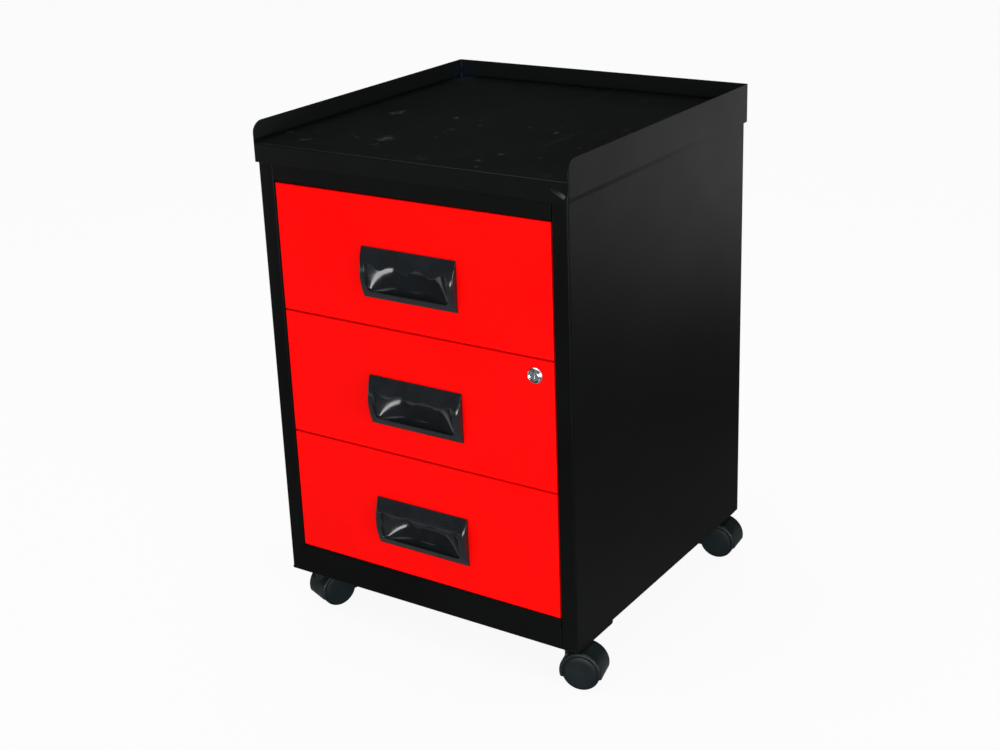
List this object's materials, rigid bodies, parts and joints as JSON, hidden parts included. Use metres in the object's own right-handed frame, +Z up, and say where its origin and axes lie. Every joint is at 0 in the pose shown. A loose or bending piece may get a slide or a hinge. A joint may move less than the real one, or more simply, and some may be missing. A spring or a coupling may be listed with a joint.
{
  "type": "mobile drawer cart",
  "caption": "Low steel drawer cart with red fronts, recessed cup handles, a cam lock, ball-bearing slides, a tray top and hooded twin-wheel casters.",
  "frame": {"origin": "on the floor, under the middle of the bounding box", "axes": "+Z up, drawers open towards -Y, +X to the right as seen from the front"},
  "size_m": [0.4426, 0.412, 0.5998],
  "materials": {
    "black_paint": "satin",
    "red_paint": "satin",
    "handle_plastic": "gloss",
    "caster_plastic": "satin",
    "zinc_plate": "satin",
    "chrome": "polished"
  },
  "bodies": {
    "cabinet": {"side_panel_left": "black_paint", "side_panel_right": "black_paint", "back_panel": "black_paint", "base_panel": "black_paint", "front_top_rail": "black_paint", "front_sill": "black_paint", "base_channel_rear": "black_paint", "rear_post_left": "black_paint", "rear_post_right": "black_paint", "tray_top": "black_paint", "slide_1_left_cabinet_member": "zinc_plate", "slide_1_right_cabinet_member": "zinc_plate", "slide_2_left_cabinet_member": "zinc_plate", "slide_2_right_cabinet_member": "zinc_plate", "slide_3_left_cabinet_member": "zinc_plate", "slide_3_right_cabinet_member": "zinc_plate", "caster_front_right_plate": "zinc_plate", "caster_rear_right_plate": "zinc_plate", "caster_front_left_plate": "zinc_plate", "caster_rear_left_plate": "zinc_plate"},
    "drawer_1": {"drawer_front_1": "red_paint", "drawer_box_1": "black_paint", "drawer_handle_1": "handle_plastic", "slide_1_left_drawer_member": "zinc_plate", "slide_1_right_drawer_member": "zinc_plate"},
    "drawer_2": {"drawer_front_2": "red_paint", "drawer_box_2": "black_paint", "drawer_handle_2": "handle_plastic", "slide_2_left_drawer_member": "zinc_plate", "slide_2_right_drawer_member": "zinc_plate", "lock_barrel": "chrome"},
    "drawer_3": {"drawer_front_3": "red_paint", "drawer_box_3": "black_paint", "drawer_handle_3": "handle_plastic", "slide_3_left_drawer_member": "zinc_plate", "slide_3_right_drawer_member": "zinc_plate"},
    "ball_cage_1_left": {"slide_1_left_ball_cage": "zinc_plate"},
    "ball_cage_1_right": {"slide_1_right_ball_cage": "zinc_plate"},
    "ball_cage_2_left": {"slide_2_left_ball_cage": "zinc_plate"},
    "ball_cage_2_right": {"slide_2_right_ball_cage": "zinc_plate"},
    "ball_cage_3_left": {"slide_3_left_ball_cage": "zinc_plate"},
    "ball_cage_3_right": {"slide_3_right_ball_cage": "zinc_plate"},
    "lock": {"lock_plug": "chrome", "lock_cam": "zinc_plate"},
    "caster_front_right": {"caster_front_right_hood": "caster_plastic", "caster_front_right_axle": "zinc_plate"},
    "wheel_front_right_a": {"caster_front_right_wheel_a": "caster_plastic"},
    "wheel_front_right_b": {"caster_front_right_wheel_b": "caster_plastic"},
    "caster_rear_right": {"caster_rear_right_hood": "caster_plastic", "caster_rear_right_axle": "zinc_plate"},
    "wheel_rear_right_a": {"caster_rear_right_wheel_a": "caster_plastic"},
    "wheel_rear_right_b": {"caster_rear_right_wheel_b": "caster_plastic"},
    "caster_front_left": {"caster_front_left_hood": "caster_plastic", "caster_front_left_axle": "zinc_plate"},
    "wheel_front_left_a": {"caster_front_left_wheel_a": "caster_plastic"},
    "wheel_front_left_b": {"caster_front_left_wheel_b": "caster_plastic"},
    "caster_rear_left": {"caster_rear_left_hood": "caster_plastic", "caster_rear_left_axle": "zinc_plate"},
    "wheel_rear_left_a": {"caster_rear_left_wheel_a": "caster_plastic"},
    "wheel_rear_left_b": {"caster_rear_left_wheel_b": "caster_plastic"}
  },
  "joints": [
    {"name": "drawer_1_slide", "type": "slide", "parent": "cabinet", "child": "drawer_1", "axis": [0, -1, 0], "range_m": [0, 0.25]},
    {"name": "drawer_2_slide", "type": "slide", "parent": "cabinet", "child": "drawer_2", "axis": [0, -1, 0], "range_m": [0, 0.25]},
    {"name": "drawer_3_slide", "type": "slide", "parent": "cabinet", "child": "drawer_3", "axis": [0, -1, 0], "range_m": [0, 0.25]},
    {"name": "ball_cage_1_left_slide", "type": "slide", "parent": "cabinet", "child": "ball_cage_1_left", "axis": [0, -1, 0], "range_m": [0, 0.125]},
    {"name": "ball_cage_1_right_slide", "type": "slide", "parent": "cabinet", "child": "ball_cage_1_right", "axis": [0, -1, 0], "range_m": [0, 0.125]},
    {"name": "ball_cage_2_left_slide", "type": "slide", "parent": "cabinet", "child": "ball_cage_2_left", "axis": [0, -1, 0], "range_m": [0, 0.125]},
    {"name": "ball_cage_2_right_slide", "type": "slide", "parent": "cabinet", "child": "ball_cage_2_right", "axis": [0, -1, 0], "range_m": [0, 0.125]},
    {"name": "ball_cage_3_left_slide", "type": "slide", "parent": "cabinet", "child": "ball_cage_3_left", "axis": [0, -1, 0], "range_m": [0, 0.125]},
    {"name": "ball_cage_3_right_slide", "type": "slide", "parent": "cabinet", "child": "ball_cage_3_right", "axis": [0, -1, 0], "range_m": [0, 0.125]},
    {"name": "lock_turn", "type": "hinge", "parent": "drawer_2", "child": "lock", "pos_m": [0.156, -0.196, 0.3668], "axis": [0, -1, 0], "range_deg": [0, 90]},
    {"name": "caster_front_right_swivel", "type": "hinge", "parent": "cabinet", "child": "caster_front_right", "pos_m": [0.18, -0.1753, 0], "axis": [0, 0, 1], "continuous": true},
    {"name": "wheel_front_right_a_spin", "type": "hinge", "parent": "caster_front_right", "child": "wheel_front_right_a", "pos_m": [0.19358, -0.17191, 0.0218], "axis": [0.2419, -0.9703, 0], "continuous": true},
    {"name": "wheel_front_right_b_spin", "type": "hinge", "parent": "caster_front_right", "child": "wheel_front_right_b", "pos_m": [0.19358, -0.17191, 0.0218], "axis": [0.2419, -0.9703, 0], "continuous": true},
    {"name": "caster_rear_right_swivel", "type": "hinge", "parent": "cabinet", "child": "caster_rear_right", "pos_m": [0.173, 0.1792, 0], "axis": [0, 0, 1], "continuous": true},
    {"name": "wheel_rear_right_a_spin", "type": "hinge", "parent": "caster_rear_right", "child": "wheel_rear_right_a", "pos_m": [0.18692, 0.18066, 0.0218], "axis": [0.1045, -0.9945, 0], "continuous": true},
    {"name": "wheel_rear_right_b_spin", "type": "hinge", "parent": "caster_rear_right", "child": "wheel_rear_right_b", "pos_m": [0.18692, 0.18066, 0.0218], "axis": [0.1045, -0.9945, 0], "continuous": true},
    {"name": "caster_front_left_swivel", "type": "hinge", "parent": "cabinet", "child": "caster_front_left", "pos_m": [-0.172, -0.1768, 0], "axis": [0, 0, 1], "continuous": true},
    {"name": "wheel_front_left_a_spin", "type": "hinge", "parent": "caster_front_left", "child": "wheel_front_left_a", "pos_m": [-0.16676, -0.16382, 0.0218], "axis": [0.9272, -0.3746, 0], "continuous": true},
    {"name": "wheel_front_left_b_spin", "type": "hinge", "parent": "caster_front_left", "child": "wheel_front_left_b", "pos_m": [-0.16676, -0.16382, 0.0218], "axis": [0.9272, -0.3746, 0], "continuous": true},
    {"name": "caster_rear_left_swivel", "type": "hinge", "parent": "cabinet", "child": "caster_rear_left", "pos_m": [-0.18, 0.1792, 0], "axis": [0, 0, 1], "continuous": true},
    {"name": "wheel_rear_left_a_spin", "type": "hinge", "parent": "caster_rear_left", "child": "wheel_rear_left_a", "pos_m": [-0.19358, 0.18259, 0.0218], "axis": [0.2419, 0.9703, 0], "continuous": true},
    {"name": "wheel_rear_left_b_spin", "type": "hinge", "parent": "caster_rear_left", "child": "wheel_rear_left_b", "pos_m": [-0.19358, 0.18259, 0.0218], "axis": [0.2419, 0.9703, 0], "continuous": true}
  ],
  "couplings": [
    {"joint": "ball_cage_1_left_slide", "follows": "drawer_1_slide", "ratio": 0.5},
    {"joint": "ball_cage_1_right_slide", "follows": "drawer_1_slide", "ratio": 0.5},
    {"joint": "ball_cage_2_left_slide", "follows": "drawer_2_slide", "ratio": 0.5},
    {"joint": "ball_cage_2_right_slide", "follows": "drawer_2_slide", "ratio": 0.5},
    {"joint": "ball_cage_3_left_slide", "follows": "drawer_3_slide", "ratio": 0.5},
    {"joint": "ball_cage_3_right_slide", "follows": "drawer_3_slide", "ratio": 0.5}
  ]
}
